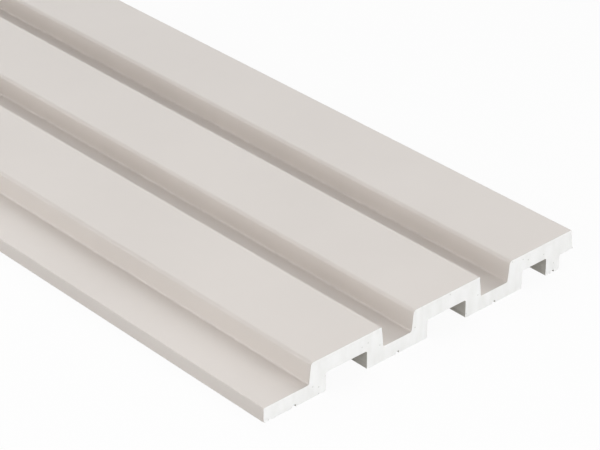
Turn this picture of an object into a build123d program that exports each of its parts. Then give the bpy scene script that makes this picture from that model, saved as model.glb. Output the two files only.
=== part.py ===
from build123d import *
from math import radians, tan
import os

# A decorative wall slat: a length of ribbed wall cladding, extruded in one piece.
# The front has flat-topped ribs with sunk grooves between them. One long edge is a low ledge and
# the other an overhanging lip, and the lip of each slat laps over the ledge of the next one, so
# that the joint is hidden in one more groove. The back stands on feet, with an open channel
# behind each rib.
# Sizes are in millimetres. X runs across the slat from the ledge to the lip, Y along its length
# and Z out from the wall. The origin is under the middle of the slat, in the plane of its feet.

# The whole slat
slat_length = 2650.0
thickness = 12.0  # from the wall to the rib tops

# Ribs and grooves
rib_count = 3
rib_pitch = 40.667  # from one rib to the next, also across the joint of two slats
groove_width = 11.5  # between the feet of the two walls of a groove
floor_height = 5.0  # from the wall to the groove floors and to the top of the ledge
wall_draft = 6.5  # lean of the rib walls, in degrees
ledge_side_radius = 1.2  # along the top edge of a rib that looks towards the ledge
lip_side_radius = 0.35  # along its other top edge, which is crisper
floor_corner_radius = 0.6  # where a rib wall meets a groove floor

# Feet and channels
side_wall = 6.5  # between the foot of a rib wall and the channel behind the rib
outer_foot_width = 6.1  # the narrow foot under the edge of the last rib
crown = 5.65  # from a rib top to the ceiling of the channel behind it
channel_corner_radius = 0.7  # along the ceiling of a channel
foot_corner_radius = 0.3  # along the bottom edges of the feet
key_width = 1.4  # fine groove under each foot, where the glue takes hold
key_depth = 0.8

# Lap joint
lip_reach = 5.7  # from the cover line out to the foot of the lip's wall
toe_reach = 0.4  # thin toe that carries the lip's wall out onto the next ledge
toe_thickness = 0.25
toe_corner_radius = 0.45  # where the lip's wall runs out into its toe
lap_clearance = 0.1  # left between two slats, above the ledge and beside it
ledge_edge_radius = 0.3  # along the top edge of the ledge
lap_corner_radius = 0.4  # where the lip's underside meets the outer foot

# Sizes that follow from the ones above
cover_width = rib_count * rib_pitch  # of the wall, once the next slat is lapped over
rib_height = thickness - floor_height
rib_foot_width = rib_pitch - groove_width
ledge_width = lip_reach + groove_width
overall_width = cover_width + lip_reach + toe_reach
outer_face = cover_width - lap_clearance
lip_underside = floor_height + lap_clearance
toe_top = lip_underside + toe_thickness
toe_root = cover_width + lip_reach - (toe_top - floor_height) * tan(radians(wall_draft))
channel_height = thickness - crown
channel_width = rib_foot_width - 2 * side_wall
outer_foot_inside = outer_face - outer_foot_width
last_channel_start = ledge_width + (rib_count - 1) * rib_pitch + side_wall
rib_middles = [ledge_width + rib_foot_width / 2 + rib * rib_pitch for rib in range(rib_count)]
groove_middles = [middle - rib_pitch / 2 for middle in rib_middles]
key_middles = groove_middles + [outer_face - outer_foot_width / 2]
corner_tolerance = 0.001  # how near a corner lies to the height that it is chosen by

from_corner = (Align.MIN, Align.MIN)
on_base = (Align.CENTER, Align.MIN)


def corners_at(sketch, height):
    """The corners of a sketch at one height, in order from the ledge to the lip."""
    lowest = height - corner_tolerance
    highest = height + corner_tolerance
    return sketch.vertices().filter_by_position(Axis.Y, lowest, highest).sort_by(Axis.X)


# The section is drawn on the far end, with its own origin at the bottom of the ledge's outer edge.
section_plane = Plane((-overall_width / 2, slat_length / 2, 0), x_dir=(1, 0, 0), z_dir=(0, -1, 0))

with BuildPart() as slat:
    with BuildSketch(section_plane) as section:
        # Web and ribs. The last rib hangs out over the edge of the web as the lip.
        Rectangle(outer_face, floor_height, align=from_corner)
        with Locations(*[(middle, floor_height) for middle in rib_middles]):
            Trapezoid(rib_foot_width, rib_height, 90 - wall_draft, align=on_base)
        with Locations((outer_face, floor_height)):
            Rectangle(overall_width - outer_face, toe_top - floor_height, align=from_corner)
            Rectangle(overall_width - outer_face, lap_clearance, align=from_corner, mode=Mode.SUBTRACT)

        # A channel behind each rib. The last one is narrower, because the outer foot stands in it.
        with Locations(*[(middle, 0) for middle in rib_middles[:-1]]):
            Rectangle(channel_width, channel_height, align=on_base, mode=Mode.SUBTRACT)
        with Locations((last_channel_start, 0)):
            Rectangle(outer_foot_inside - last_channel_start, channel_height, align=from_corner,
                      mode=Mode.SUBTRACT)

        # Rounded edges, from the front to the back
        fillet(corners_at(section, thickness)[::2], ledge_side_radius)
        fillet(corners_at(section, thickness)[1::2], lip_side_radius)
        fillet(corners_at(section, floor_height)[1:], floor_corner_radius)
        fillet(corners_at(section, floor_height)[:1], ledge_edge_radius)
        fillet(corners_at(section, toe_top)[:1], min(toe_corner_radius, overall_width - toe_root))
        fillet(corners_at(section, lip_underside)[:1], lap_corner_radius)
        fillet(corners_at(section, channel_height), channel_corner_radius)
        fillet(corners_at(section, 0), foot_corner_radius)

        # Glue keys, under each groove and under the outer foot
        with Locations(*[(middle, 0) for middle in key_middles]):
            Rectangle(key_width, key_depth, align=on_base, mode=Mode.SUBTRACT)

    extrude(amount=slat_length)

os.makedirs("parts", exist_ok=True)
slat.part.label = "slat"
export_step(slat.part, "parts/slat.step")
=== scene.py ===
# %% [markdown]
# # A decorative wall slat
# The slat is one length of ribbed wall cladding, extruded in one piece from foamed plastic and sawn
# to length. A plain decor film covers its front, the back is bare foam, and the two ends show the
# sawn foam. This lesson loads the measured CAD part, makes the extrusion again as a clean mesh with
# Geometry Nodes, gives it its three finishes, and sets it on a studio floor.

# %% Load the CAD part
import math

import bpy
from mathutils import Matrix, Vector


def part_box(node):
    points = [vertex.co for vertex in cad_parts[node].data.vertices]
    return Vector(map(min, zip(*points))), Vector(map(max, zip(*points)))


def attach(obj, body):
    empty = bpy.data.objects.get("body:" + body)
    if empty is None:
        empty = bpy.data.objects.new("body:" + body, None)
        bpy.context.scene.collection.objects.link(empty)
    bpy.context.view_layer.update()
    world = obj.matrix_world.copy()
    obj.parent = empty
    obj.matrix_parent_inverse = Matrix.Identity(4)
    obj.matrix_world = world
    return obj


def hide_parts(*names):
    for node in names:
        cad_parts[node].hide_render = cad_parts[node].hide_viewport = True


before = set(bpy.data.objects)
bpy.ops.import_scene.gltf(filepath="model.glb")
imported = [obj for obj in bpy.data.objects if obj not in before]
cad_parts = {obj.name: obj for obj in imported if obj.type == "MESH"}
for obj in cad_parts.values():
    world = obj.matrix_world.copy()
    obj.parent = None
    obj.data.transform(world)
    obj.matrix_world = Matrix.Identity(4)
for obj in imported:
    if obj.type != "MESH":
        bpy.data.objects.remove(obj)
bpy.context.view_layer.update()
slat_low, slat_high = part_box("slat")
slat_width, slat_length, slat_height = [slat_high[axis] - slat_low[axis] for axis in range(3)]
print(f"slat: {slat_width:.4f} m wide, {slat_length:.3f} m long, {slat_height:.4f} m high")

# %% [markdown]
# ## Two small helpers
# Colours are written as they look on a screen, in sRGB, and Blender's shaders count in linear light,
# so one function turns one into the other. A second function adds a node to any tree. Each input is
# named by its socket's identifier. It is given a plain value, which is set, or a socket or another
# node, which is linked. A node stands for its own first output.

# %% Helpers for colours and nodes
MM = 0.001
MIXED_COLOUR = 2  # place of a Mix node's colour among its outputs, which all have one name


def linear(hex_colour):
    """The linear RGBA of an sRGB colour such as #D8D1CA."""
    channels = [int(hex_colour[start:start + 2], 16) / 255 for start in (1, 3, 5)]
    return [c / 12.92 if c <= 0.04045 else ((c + 0.055) / 1.055) ** 2.4 for c in channels] + [1.0]


def add_node(tree, kind, inputs=None, **settings):
    """Adds one node with its settings, and sets or links the inputs that are given."""
    node = tree.nodes.new(kind)
    for name, value in settings.items():
        setattr(node, name, value)
    sockets = {socket.identifier: socket for socket in node.inputs}
    for name, value in (inputs or {}).items():
        if isinstance(value, bpy.types.Node):
            value = value.outputs[0]
        if isinstance(value, bpy.types.NodeSocket):
            tree.links.new(value, sockets[name])
        else:
            sockets[name].default_value = value
    return node


print("middle grey is", [round(channel, 3) for channel in linear("#808080")])

# %% [markdown]
# ## The decor film
# The front of the slat is wrapped in a thin PVC film in one plain pale greige. The film was embossed
# with a very fine grain to take its shine down to satin, and it was rolled onto the moving slat, so it
# carries faint draw lines along the length. Seen close, it is not one flat colour: the tone drifts a
# little from place to place and the sheen follows the grain. A picture of a film could be wrapped on,
# but noise on Object coordinates needs no picture and stays fixed to the slat at its real size.

# %% Satin PVC decor film: an even, warm, pale surface with a soft sheen
FILM_LIGHT = "#DBD4CE"
FILM_DARK = "#D8D1CB"
FILM_SMOOTHEST, FILM_ROUGHEST = 0.40, 0.48
TONE_DRIFT = 45 * MM  # between a lighter and a darker place
GRAIN_SIZE = 0.8 * MM  # the real emboss is about 0.15 mm, drawn coarser so that it shows
GRAIN_HEIGHT = 0.006 * MM
DRAW_LINE_SPACING = 2.5 * MM
DRAW_LINE_LENGTH = 600 * MM
DRAW_LINE_HEIGHT = 0.004 * MM


def new_finish(name):
    """A new material, with its tree and its shader."""
    material = bpy.data.materials.new(name)
    material.use_nodes = True
    return material, material.node_tree, material.node_tree.nodes["Principled BSDF"]


def tone_between(tree, amount, dark, light, low, high):
    """A colour that goes from dark to light as an amount goes from low to high."""
    share = add_node(tree, "ShaderNodeMapRange", {"Value": amount, "From Min": low, "From Max": high})
    mix = add_node(tree, "ShaderNodeMix", {"Factor_Float": share, "A_Color": linear(dark),
                                           "B_Color": linear(light)}, data_type="RGBA")
    return mix.outputs[MIXED_COLOUR]


def drawn_out_noise(tree, place, spacings, detail):
    """Noise drawn out into lines: spacings are the sizes of its patches along X, Y and Z."""
    scale = [1 / spacing for spacing in spacings]
    drawn_out = add_node(tree, "ShaderNodeMapping", {"Vector": place, "Scale": scale})
    return add_node(tree, "ShaderNodeTexNoise", {"Vector": drawn_out, "Scale": 1.0, "Detail": detail})


film, tree, film_shader = new_finish("satin_pvc_decor_film")
place = add_node(tree, "ShaderNodeTexCoord").outputs["Object"]
drift = add_node(tree, "ShaderNodeTexNoise", {"Vector": place, "Scale": 1 / TONE_DRIFT, "Detail": 3.0})
film_tone = tone_between(tree, drift, FILM_DARK, FILM_LIGHT, low=0.35, high=0.65)
grain = add_node(tree, "ShaderNodeTexNoise", {"Vector": place, "Scale": 1 / GRAIN_SIZE, "Detail": 2.0})
film_sheen = add_node(tree, "ShaderNodeMapRange", {"Value": grain, "To Min": FILM_SMOOTHEST,
                                                   "To Max": FILM_ROUGHEST})
draw_lines = drawn_out_noise(tree, place, (DRAW_LINE_SPACING, DRAW_LINE_LENGTH, DRAW_LINE_SPACING),
                             detail=2.0)
draw_bump = add_node(tree, "ShaderNodeBump", {"Height": draw_lines, "Distance": DRAW_LINE_HEIGHT})
grain_bump = add_node(tree, "ShaderNodeBump", {"Height": grain, "Distance": GRAIN_HEIGHT,
                                               "Normal": draw_bump})
tree.links.new(film_tone, film_shader.inputs["Base Color"])
tree.links.new(film_sheen.outputs["Result"], film_shader.inputs["Roughness"])
tree.links.new(grain_bump.outputs["Normal"], film_shader.inputs["Normal"])
film_shader.inputs["IOR"].default_value = 1.50
print("finish:", film.name)

# %% [markdown]
# ## The bare back
# The back of the slat is the foam's own skin, as it left the die: off-white and matte, with fine lines
# along the length where the die dragged. It is duller and less even than the film. The same drawn-out
# noise serves here, with closer lines that also change the tone.

# %% Extruded foam skin: dull off-white with fine lines along the length
SKIN_LIGHT = "#D4D1CA"
SKIN_DARK = "#C6C2BA"
DIE_LINE_SPACING = 0.9 * MM
DIE_LINE_LENGTH = 250 * MM
DIE_LINE_HEIGHT = 0.03 * MM

foam_skin, tree, skin_shader = new_finish("extruded_foam_skin")
place = add_node(tree, "ShaderNodeTexCoord").outputs["Object"]
die_lines = drawn_out_noise(tree, place, (DIE_LINE_SPACING, DIE_LINE_LENGTH, DIE_LINE_SPACING),
                            detail=3.0)
skin_tone = tone_between(tree, die_lines, SKIN_DARK, SKIN_LIGHT, low=0.3, high=0.7)
skin_bump = add_node(tree, "ShaderNodeBump", {"Height": die_lines, "Distance": DIE_LINE_HEIGHT})
tree.links.new(skin_tone, skin_shader.inputs["Base Color"])
tree.links.new(skin_bump.outputs["Normal"], skin_shader.inputs["Normal"])
skin_shader.inputs["Roughness"].default_value = 0.62
skin_shader.inputs["IOR"].default_value = 1.55
print("finish:", foam_skin.name)

# %% [markdown]
# ## The sawn ends
# A saw opens the foam's cells, so the ends are chalky white and quite dull. There are faint clouds where
# the foam is denser, upright streaks where the teeth went through, and here and there a cell that was
# torn right open. The torn cells are real hollows in the mesh, made further on, and the material paints
# grey shade into the same places, so one function chooses them for both. It works in any node tree.

# %% Torn cells of the sawn face
TORN_SPACING = 2.4 * MM
TORN_WIDTH = 0.7 * MM
TORN_SHARE = 0.14  # of all the places where a cell could be torn


def torn_cells(tree, place):
    """1 in the middle of a torn cell and 0 around it, from X and Z alone, so both ends have them."""
    axes = add_node(tree, "ShaderNodeSeparateXYZ", {"Vector": place}).outputs
    on_face = add_node(tree, "ShaderNodeCombineXYZ", {"X": axes["X"], "Y": axes["Z"]})
    cells = add_node(tree, "ShaderNodeTexVoronoi", {"Vector": on_face, "Scale": 1 / TORN_SPACING},
                     voronoi_dimensions="2D").outputs
    reach = TORN_WIDTH / 2 / TORN_SPACING
    hollow = add_node(tree, "ShaderNodeMapRange", {"Value": cells["Distance"], "From Max": reach,
                                                   "To Min": 1.0, "To Max": 0.0},
                      interpolation_type="SMOOTHSTEP")
    chance = add_node(tree, "ShaderNodeSeparateXYZ", {"Vector": cells["Color"]})
    torn = add_node(tree, "ShaderNodeMath", {"Value": chance, "Value_001": TORN_SHARE},
                    operation="LESS_THAN")
    return add_node(tree, "ShaderNodeMath", {"Value": hollow, "Value_001": torn}, operation="MULTIPLY")


print(f"one cell in {1 / TORN_SHARE:.0f} is torn, {TORN_WIDTH / MM:.1f} mm wide")

# %% Sawn polystyrene foam: chalky white, faintly clouded and streaked, with painted shade in the torn cells
SAWN_WHITE = "#F6F6F5"
SAWN_CLOUD = "#EFEFED"
# painted shade: the grey that is put into the hollows of the torn cells
TORN_PAINTED_SHADE = "#CACAC6"
STREAK_SPACING = 2.6 * MM
STREAK_LENGTH = 8 * MM
CELL_SIZE = 0.45 * MM  # the real cells are about 0.2 mm, drawn coarser so that they show
CELL_DEPTH = 0.015 * MM

sawn_foam, tree, sawn_shader = new_finish("sawn_polystyrene_foam")
place = add_node(tree, "ShaderNodeTexCoord").outputs["Object"]
clouds = drawn_out_noise(tree, place, (STREAK_SPACING, STREAK_SPACING, STREAK_LENGTH), detail=4.0)
sawn_tone = tone_between(tree, clouds, SAWN_CLOUD, SAWN_WHITE, low=0.3, high=0.65)
# the torn cells' hollows are greyed over the clouds and streaks, as painted shade
sawn_tone_with_pit_shade = add_node(tree, "ShaderNodeMix", {"Factor_Float": torn_cells(tree, place), "A_Color": sawn_tone,
                                            "B_Color": linear(TORN_PAINTED_SHADE)}, data_type="RGBA")
cells = add_node(tree, "ShaderNodeTexVoronoi", {"Vector": place, "Scale": 1 / CELL_SIZE})
cell_bump = add_node(tree, "ShaderNodeBump", {"Height": cells, "Distance": CELL_DEPTH})
tree.links.new(sawn_tone_with_pit_shade.outputs[MIXED_COLOUR], sawn_shader.inputs["Base Color"])
tree.links.new(cell_bump.outputs["Normal"], sawn_shader.inputs["Normal"])
sawn_shader.inputs["Roughness"].default_value = 0.9
sawn_shader.inputs["IOR"].default_value = 1.55
print("finish:", sawn_foam.name)

# %% [markdown]
# ## The section
# Everything on the slat follows from one section: a ledge, three ribs with grooves between them, a lip
# that hangs out over the next slat's ledge, and a back with feet, channels and glue keys. It is drawn
# as a list of corners, each with the radius that rounds it. The corners go round the front from the
# ledge to the lip and come back along the underside. A curve keeps the radius of each of its points,
# so the rounding itself can be left to a node. Swept along Y, a curve's own Y comes out as downwards,
# so the heights are drawn negative.

# %% Sizes of the section, in millimetres
rib_count = 3
rib_pitch = 40.667
groove_width = 11.5
floor_height = 5.0
thickness = slat_height / MM
wall_draft = math.radians(6.5)
ledge_side_radius = 1.2
lip_side_radius = 0.35
floor_corner_radius = 0.6
side_wall = 6.5
outer_foot_width = 6.1
crown = 5.65
channel_corner_radius = 0.7
foot_corner_radius = 0.3
key_width = 1.4
key_depth = 0.8
lip_reach = 5.7
toe_reach = 0.4
toe_thickness = 0.25
lap_clearance = 0.1
ledge_edge_radius = 0.3
lap_corner_radius = 0.4

cover_width = rib_count * rib_pitch
overall_width = cover_width + lip_reach + toe_reach
ledge_width = lip_reach + groove_width
rib_foot_width = rib_pitch - groove_width
wall_run = (thickness - floor_height) * math.tan(wall_draft)
channel_height = thickness - crown
outer_face = cover_width - lap_clearance
lip_underside = floor_height + lap_clearance
toe_top = lip_underside + toe_thickness
toe_root = cover_width + lip_reach - (toe_top - floor_height) * math.tan(wall_draft)
rib_starts = [ledge_width + rib * rib_pitch for rib in range(rib_count)]
print(f"section {overall_width:.3f} mm wide, CAD part {slat_width / MM:.3f} mm wide")

# %% Corners of the front, from the ledge to the lip, as (across, up, radius)
corners = [(0, 0, foot_corner_radius), (0, floor_height, ledge_edge_radius)]
for left in rib_starts:
    right = left + rib_foot_width
    corners.append((left, floor_height, floor_corner_radius))
    corners.append((left + wall_run, thickness, ledge_side_radius))
    corners.append((right - wall_run, thickness, lip_side_radius))
    if left != rib_starts[-1]:
        corners.append((right, floor_height, floor_corner_radius))
corners.append((toe_root, toe_top, overall_width - toe_root))
corners.append((overall_width, toe_top, 0))
print(len(corners), "corners along the front")


# %% Corners of the back, from the lip to the ledge
def add_key(middle):
    """The glue key under a foot, from its right side to its left."""
    for side, height in ((1, 0), (1, key_depth), (-1, key_depth), (-1, 0)):
        corners.append((middle + side * key_width / 2, height, 0))


corners.append((overall_width, lip_underside, 0))
corners.append((outer_face, lip_underside, lap_corner_radius))
corners.append((outer_face, 0, foot_corner_radius))
add_key(outer_face - outer_foot_width / 2)
for start in reversed(rib_starts):
    left = start + side_wall
    right = start + rib_foot_width - side_wall
    if start == rib_starts[-1]:
        right = outer_face - outer_foot_width
    corners.append((right, 0, foot_corner_radius))
    corners.append((right, channel_height, channel_corner_radius))
    corners.append((left, channel_height, channel_corner_radius))
    corners.append((left, 0, foot_corner_radius))
    add_key(start - groove_width / 2)
print(len(corners), "corners in the whole section")

# %% The section as a curve
section_data = bpy.data.curves.new("slat_section", "CURVE")
spline = section_data.splines.new("POLY")
spline.points.add(len(corners) - 1)
for point, (across, up, radius) in zip(spline.points, corners):
    point.co = (slat_low[0] + across * MM, -slat_low[2] - up * MM, 0, 1)
    point.radius = radius * MM
spline.use_cyclic_u = True
section = bpy.data.objects.new("slat_section", section_data)
bpy.context.collection.objects.link(section)
print("section drawn as a closed curve of", len(spline.points), "points")

# %% [markdown]
# ## The extrusion
# On the real line the section is pushed out of a die as one endless length, and a saw cuts it to size.
# The node tree does the same. It rounds the corners of the section, sweeps it a little past both ends,
# and then keeps only what lies inside a long block. The block's two ends are fine meshes with the
# ripple of the saw and the torn cells in them, so the cut faces get a real, slightly rough surface.
# Sweeping a curve and intersecting keeps every face closed and exactly on the CAD part's faces. The
# sweep goes in steps along the length, because very long and thin triangles shade badly.

# %% Inputs of the extrusion tree
OVERRUN = 5 * MM  # of the sweep, past each saw cut

tree = bpy.data.node_groups.new("Extruded and sawn slat", "GeometryNodeTree")
tree.is_modifier = True
tree.interface.new_socket("Geometry", in_out="OUTPUT", socket_type="NodeSocketGeometry")
tree_inputs = {
    "Section": ("NodeSocketObject", section),
    "Arc steps": ("NodeSocketInt", 8),
    "Sweep start": ("NodeSocketVector", (0, slat_low[1] - OVERRUN, 0)),
    "Sweep end": ("NodeSocketVector", (0, slat_high[1] + OVERRUN, 0)),
    "Sweep points": ("NodeSocketInt", 36),
    "Block size": ("NodeSocketVector", (slat_width * 1.1, slat_length, slat_height * 2)),
    "Columns": ("NodeSocketInt", 480),
    "Rows": ("NodeSocketInt", 80),
    "Torn depth": ("NodeSocketFloat", 0.2 * MM),
    "Ripple size": ("NodeSocketVector", (1.8 * MM, 1.8 * MM, 22.5 * MM)),
    "Ripple depth": ("NodeSocketFloat", 0.02 * MM),
    "Film": ("NodeSocketMaterial", film),
    "Skin": ("NodeSocketMaterial", foam_skin),
    "Sawn": ("NodeSocketMaterial", sawn_foam),
}
identifiers = {}
for name, (kind, value) in tree_inputs.items():
    identifiers[name] = tree.interface.new_socket(name, in_out="INPUT", socket_type=kind).identifier
given = add_node(tree, "NodeGroupInput").outputs
print(len(identifiers), "inputs in the extrusion tree")

# %% Sweep of the rounded section
SAME_POINT = 0.001 * MM  # nearer than this, two points of the sweep are one

drawn = add_node(tree, "GeometryNodeObjectInfo", {"Object": given["Section"]})
corner_radius = add_node(tree, "GeometryNodeInputRadius")
rounded = add_node(tree, "GeometryNodeFilletCurve", {"Curve": drawn.outputs["Geometry"],
                                                     "Count": given["Arc steps"],
                                                     "Radius": corner_radius}, mode="POLY")
path = add_node(tree, "GeometryNodeCurvePrimitiveLine", {"Start": given["Sweep start"],
                                                         "End": given["Sweep end"]})
stepped_path = add_node(tree, "GeometryNodeResampleCurve", {"Curve": path, "Count": given["Sweep points"]})
swept = add_node(tree, "GeometryNodeCurveToMesh", {"Curve": stepped_path, "Profile Curve": rounded,
                                                   "Fill Caps": True})
extrusion = add_node(tree, "GeometryNodeMergeByDistance", {"Geometry": swept, "Distance": SAME_POINT})
print(len(tree.nodes), "nodes up to the sweep")

# %% Depth of the saw's ripple and the torn cells
position = add_node(tree, "GeometryNodeInputPosition")
torn_depth = add_node(tree, "ShaderNodeMath", {"Value": torn_cells(tree, position),
                                               "Value_001": given["Torn depth"]}, operation="MULTIPLY")
upright = add_node(tree, "ShaderNodeVectorMath", {"Vector": position, "Vector_001": given["Ripple size"]},
                   operation="DIVIDE")
ripple = add_node(tree, "ShaderNodeTexNoise", {"Vector": upright, "Scale": 1.0})
depth = add_node(tree, "ShaderNodeMath", {"Value": ripple, "Value_001": given["Ripple depth"],
                                          "Value_002": torn_depth}, operation="MULTIPLY_ADD")
print(len(tree.nodes), "nodes up to the depth of the cut")

# %% Saw cut
block = add_node(tree, "GeometryNodeMeshCube", {"Size": given["Block size"], "Vertices X": given["Columns"],
                                                "Vertices Y": 2, "Vertices Z": given["Rows"]})
axes = add_node(tree, "ShaderNodeSeparateXYZ", {"Vector": position}).outputs
which_end = add_node(tree, "ShaderNodeMath", {"Value": axes["Y"]}, operation="SIGN")
outwards = add_node(tree, "ShaderNodeMath", {"Value": depth, "Value_001": which_end}, operation="MULTIPLY")
cut = add_node(tree, "ShaderNodeCombineXYZ", {"Y": outwards})
cut_place = add_node(tree, "ShaderNodeVectorMath", {"Vector": position, "Vector_001": cut},
                     operation="SUBTRACT")
rough_block = add_node(tree, "GeometryNodeSetPosition", {"Geometry": block, "Position": cut_place})
cut_block = add_node(tree, "GeometryNodeTriangulate", {"Mesh": rough_block})
sawn = add_node(tree, "GeometryNodeMeshBoolean", {"Mesh 2": extrusion}, operation="INTERSECT",
                solver="EXACT")
tree.links.new(cut_block.outputs["Mesh"], sawn.inputs["Mesh 2"])
print(len(tree.nodes), "nodes up to the saw cut")

# %% [markdown]
# ## Which face has which finish
# The film covers whatever faces outwards from the wall: every face that looks up at all, and the two
# outermost side faces. The saw cuts are the faces that look along the length. All the rest is bare
# foam skin. Edges that turn by more than a set angle stay sharp, and the others are shaded smooth.

# %% Choice of faces and edges
SHARP_TURN = math.radians(50)
UP_AT_ALL = 0.05  # least upward share of the normal of a face that has film
ALONG = 0.5  # least lengthways share of the normal of a sawn face
OUTERMOST = slat_width / 2 - 0.01 * MM  # from the middle of the slat to its side faces

normal = add_node(tree, "GeometryNodeInputNormal")
facing = add_node(tree, "ShaderNodeSeparateXYZ", {"Vector": normal}).outputs
looks_up = add_node(tree, "ShaderNodeMath", {"Value": facing["Z"], "Value_001": UP_AT_ALL},
                    operation="GREATER_THAN")
across = add_node(tree, "ShaderNodeMath", {"Value": axes["X"]}, operation="ABSOLUTE")
at_side = add_node(tree, "ShaderNodeMath", {"Value": across, "Value_001": OUTERMOST},
                   operation="GREATER_THAN")
has_film = add_node(tree, "ShaderNodeMath", {"Value": looks_up, "Value_001": at_side}, operation="MAXIMUM")
lengthways = add_node(tree, "ShaderNodeMath", {"Value": facing["Y"]}, operation="ABSOLUTE")
is_sawn = add_node(tree, "ShaderNodeMath", {"Value": lengthways, "Value_001": ALONG},
                   operation="GREATER_THAN")
turn = add_node(tree, "GeometryNodeInputMeshEdgeAngle")
is_sharp = add_node(tree, "ShaderNodeMath", {"Value": turn, "Value_001": SHARP_TURN},
                    operation="GREATER_THAN")
print(len(tree.nodes), "nodes up to the choice of faces")

# %% Edges and finishes
smooth = add_node(tree, "GeometryNodeSetShadeSmooth", {"Geometry": sawn})
edged = add_node(tree, "GeometryNodeStoreNamedAttribute", {"Geometry": smooth, "Name": "sharp_edge",
                                                           "Value": is_sharp},
                 data_type="BOOLEAN", domain="EDGE")
real = add_node(tree, "GeometryNodeRealizeInstances", {"Geometry": edged})
bare = add_node(tree, "GeometryNodeSetMaterial", {"Geometry": real, "Material": given["Skin"]})
wrapped = add_node(tree, "GeometryNodeSetMaterial", {"Geometry": bare, "Material": given["Film"],
                                                     "Selection": has_film})
finished = add_node(tree, "GeometryNodeSetMaterial", {"Geometry": wrapped, "Material": given["Sawn"],
                                                      "Selection": is_sawn})
tree_end = add_node(tree, "NodeGroupOutput")
tree.links.new(finished.outputs["Geometry"], tree_end.inputs["Geometry"])
print(len(tree.nodes), "nodes in the extrusion tree")

# %% The slat as a plain mesh
maker = bpy.data.objects.new("slat_maker", bpy.data.meshes.new("slat_maker"))
bpy.context.collection.objects.link(maker)
extruder = maker.modifiers.new("Extrusion", "NODES")
extruder.node_group = tree
for name, (kind, value) in tree_inputs.items():
    extruder[identifiers[name]] = value
flat_faces = maker.modifiers.new("Flat faces stay flat", "WEIGHTED_NORMAL")
flat_faces.keep_sharp = True
evaluated = maker.evaluated_get(bpy.context.evaluated_depsgraph_get())
slat_body = bpy.data.objects.new("slat_body", bpy.data.meshes.new_from_object(evaluated))
bpy.context.collection.objects.link(slat_body)
bpy.data.objects.remove(maker)
bpy.data.objects.remove(section)
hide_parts("slat")
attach(slat_body, "root")
slat_body.data.calc_loop_triangles()
print(len(slat_body.data.vertices), "vertices,", len(slat_body.data.loop_triangles), "triangles")
print("finishes:", [material.name for material in slat_body.data.materials])

# %% [markdown]
# ## The floor and the surroundings
# The slat lies on its back on a plain white studio floor, in a white room. Camera and mirror rays see
# the floor and the room as nearly pure white, while the light that falls on the slat is kept at a
# plain level. Stronger lamps would whiten the background as well, but they would bleach the slat.
# The floor still takes the slat's own soft shadow.

# %% White floor paint
FLOOR_WHITE = "#F4F4F4"  # as the camera sees it
FLOOR_BOUNCE = "#C8C8C8"  # as it throws light back at the slat
FLOOR_GLOW = 0.94  # share of the floor that the camera sees as plain white, without shade


def seen_directly(tree):
    """1 for rays that come from the camera, a reflection or glass, and 0 for light on its way."""
    ray = add_node(tree, "ShaderNodeLightPath").outputs
    mirrored = add_node(tree, "ShaderNodeMath", {"Value": ray["Is Glossy Ray"],
                                                 "Value_001": ray["Is Transmission Ray"]},
                        operation="MAXIMUM")
    return add_node(tree, "ShaderNodeMath", {"Value": ray["Is Camera Ray"], "Value_001": mirrored},
                    operation="MAXIMUM")


floor_paint, tree, floor_shader = new_finish("white_floor_paint")
seen = seen_directly(tree)
floor_tone = add_node(tree, "ShaderNodeMix", {"Factor_Float": seen, "A_Color": linear(FLOOR_BOUNCE),
                                              "B_Color": linear(FLOOR_WHITE)}, data_type="RGBA")
tree.links.new(floor_tone.outputs[MIXED_COLOUR], floor_shader.inputs["Base Color"])
floor_shader.inputs["Roughness"].default_value = 0.9
floor_shader.inputs["Specular IOR Level"].default_value = 0.0
glow = add_node(tree, "ShaderNodeEmission", {"Strength": 1.0})
glow_share = add_node(tree, "ShaderNodeMath", {"Value": seen, "Value_001": FLOOR_GLOW},
                      operation="MULTIPLY")
floor_mix = add_node(tree, "ShaderNodeMixShader", {"Fac": glow_share, "Shader": floor_shader,
                                                   "Shader_001": glow})
tree.links.new(floor_mix.outputs["Shader"], tree.nodes["Material Output"].inputs["Surface"])
print("finish:", floor_paint.name)

# %% Floor
FLOOR_SIZE = 120.0
FLOOR_GAP = 0.02 * MM  # the floor lies a hair lower than the feet, so that the two don't share a plane

reach = FLOOR_SIZE / 2
floor_outline = [(-reach, -reach), (reach, -reach), (reach, reach), (-reach, reach)]
floor_data = bpy.data.meshes.new("studio_floor")
floor_data.from_pydata([(x, y, -FLOOR_GAP) for x, y in floor_outline], [], [(0, 1, 2, 3)])
floor_data.materials.append(floor_paint)
floor = bpy.data.objects.new("studio_floor", floor_data)
bpy.context.collection.objects.link(floor)
print("floor", FLOOR_SIZE, "m square")

# %% White room
ROOM_WHITE = "#FFFFFF"
ROOM_LIGHT = 0.01

world = bpy.data.worlds.new("white_room")
bpy.context.scene.world = world
world.use_nodes = True
tree = world.node_tree
room_light = tree.nodes["Background"]
room_light.inputs["Color"].default_value = linear(ROOM_WHITE)
room_light.inputs["Strength"].default_value = ROOM_LIGHT
room_seen = add_node(tree, "ShaderNodeBackground", {"Color": linear(ROOM_WHITE), "Strength": 1.0})
room_mix = add_node(tree, "ShaderNodeMixShader", {"Fac": seen_directly(tree), "Shader": room_light,
                                                  "Shader_001": room_seen})
tree.links.new(room_mix.outputs["Shader"], tree.nodes["World Output"].inputs["Surface"])
print("room light", ROOM_LIGHT)

# %% [markdown]
# ## The lamps
# Low light from all round shows a ribbed face best: it reaches the rib walls and leaves the groove
# floors darker. Two long striplights stand beside the ledge, a low one for the rib walls and a
# higher one that also looks down into the grooves. Softboxes face the two ends, and a wide sun lamp
# comes over the lip's side, like a far window. Area lamps fall off with distance as real softboxes do,
# and the sun is the same along the whole slat.

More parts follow.
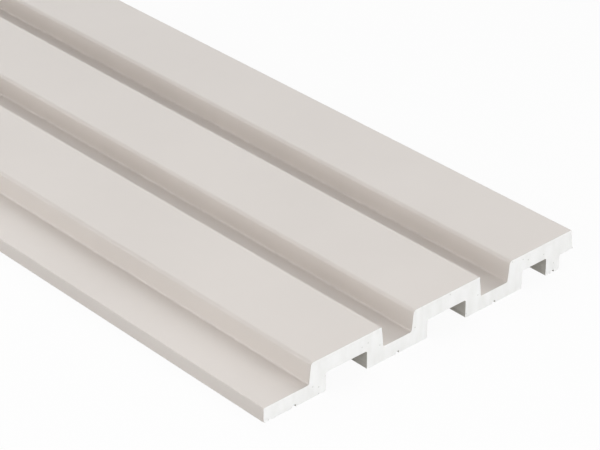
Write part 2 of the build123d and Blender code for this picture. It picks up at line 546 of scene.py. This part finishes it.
# %% Places and strengths of the lamps
slat_middle = Vector((0, 0, slat_height / 2))
near_middle = Vector((0, slat_low[1], slat_height / 2))
far_middle = Vector((0, slat_high[1], slat_height / 2))
softboxes = {  # what it faces, degrees round from the near end, degrees up, metres away, wide, high, watts
    "softbox_near_end": (near_middle, 5, 20, 1.0, 0.8, 0.6, 7.05),
    "softbox_far_end": (far_middle, 180, 20, 1.0, 0.8, 0.6, 4.2),
    "striplight_low": (slat_middle, 270, 12, 0.75, 6.0, 0.25, 6.2),
    "striplight_high": (slat_middle, 270, 36, 0.75, 6.0, 0.25, 10.9),
}
WINDOW_ROUND, WINDOW_UP, WINDOW_AWAY = 136, 42, 2.0  # degrees, degrees and metres
WINDOW_SPREAD = 60  # degrees
WINDOW_STRENGTH = 1.55
print(f"area lamps of {sum(row[-1] for row in softboxes.values()):.2f} W in all")


# %% Softboxes, striplights and a far window
def way_to(degrees_round, degrees_up):
    """The direction towards a lamp, counted round from the near end and up from the floor."""
    turn, rise = math.radians(degrees_round), math.radians(degrees_up)
    return Vector((math.sin(turn) * math.cos(rise), -math.cos(turn) * math.cos(rise), math.sin(rise)))


def hang_lamp(lamp_data, target, direction, distance):
    """Places a lamp, out of the camera's sight, so that it shines back at its target."""
    lamp = bpy.data.objects.new(lamp_data.name, lamp_data)
    lamp.location = target + direction * distance
    lamp.rotation_euler = direction.to_track_quat("Z", "Y").to_euler()
    lamp.visible_camera = False
    bpy.context.collection.objects.link(lamp)
    return lamp


for name, (target, degrees_round, degrees_up, distance, wide, high, watts) in softboxes.items():
    softbox = bpy.data.lights.new(name, "AREA")
    softbox.shape = "RECTANGLE"
    softbox.size = wide
    softbox.size_y = high
    softbox.energy = watts
    lamp = hang_lamp(softbox, target, way_to(degrees_round, degrees_up), distance)
    lamp.visible_glossy = name != "softbox_far_end"  # mirrored along the film, it would bleach the far end
window = bpy.data.lights.new("far_window", "SUN")
window.angle = math.radians(WINDOW_SPREAD)
window.energy = WINDOW_STRENGTH
hang_lamp(window, slat_middle, way_to(WINDOW_ROUND, WINDOW_UP), WINDOW_AWAY)
print(len(softboxes), "area lamps and a far window")

# %% [markdown]
# ## The camera
# The camera looks down at the near end from beyond the ledge's corner. A long lens from further away
# keeps the ribs nearly parallel in the picture, where a short one would make them run together.

# %% Camera
CAMERA_LENS = 142.6  # millimetres, on a sensor 36 mm wide
CAMERA_ACROSS, CAMERA_BEFORE, CAMERA_UP = -0.42211, 0.40887, 0.38699  # metres, from the near end
CAMERA_DOWN, CAMERA_ROUND = 30.69, 42.28  # degrees, down from level and round towards the lip

camera_data = bpy.data.cameras.new("camera")
camera_data.sensor_width = 36.0
camera_data.lens = CAMERA_LENS
camera_data.clip_start = 0.01
camera_data.clip_end = 200.0
camera = bpy.data.objects.new("camera", camera_data)
camera.location = (CAMERA_ACROSS, slat_low[1] - CAMERA_BEFORE, CAMERA_UP)
camera.rotation_euler = (math.radians(90 - CAMERA_DOWN), 0, math.radians(-CAMERA_ROUND))
bpy.context.collection.objects.link(camera)
bpy.context.scene.camera = camera
bpy.context.scene.view_settings.view_transform = "Standard"
print("camera at", [round(value, 3) for value in camera.location])
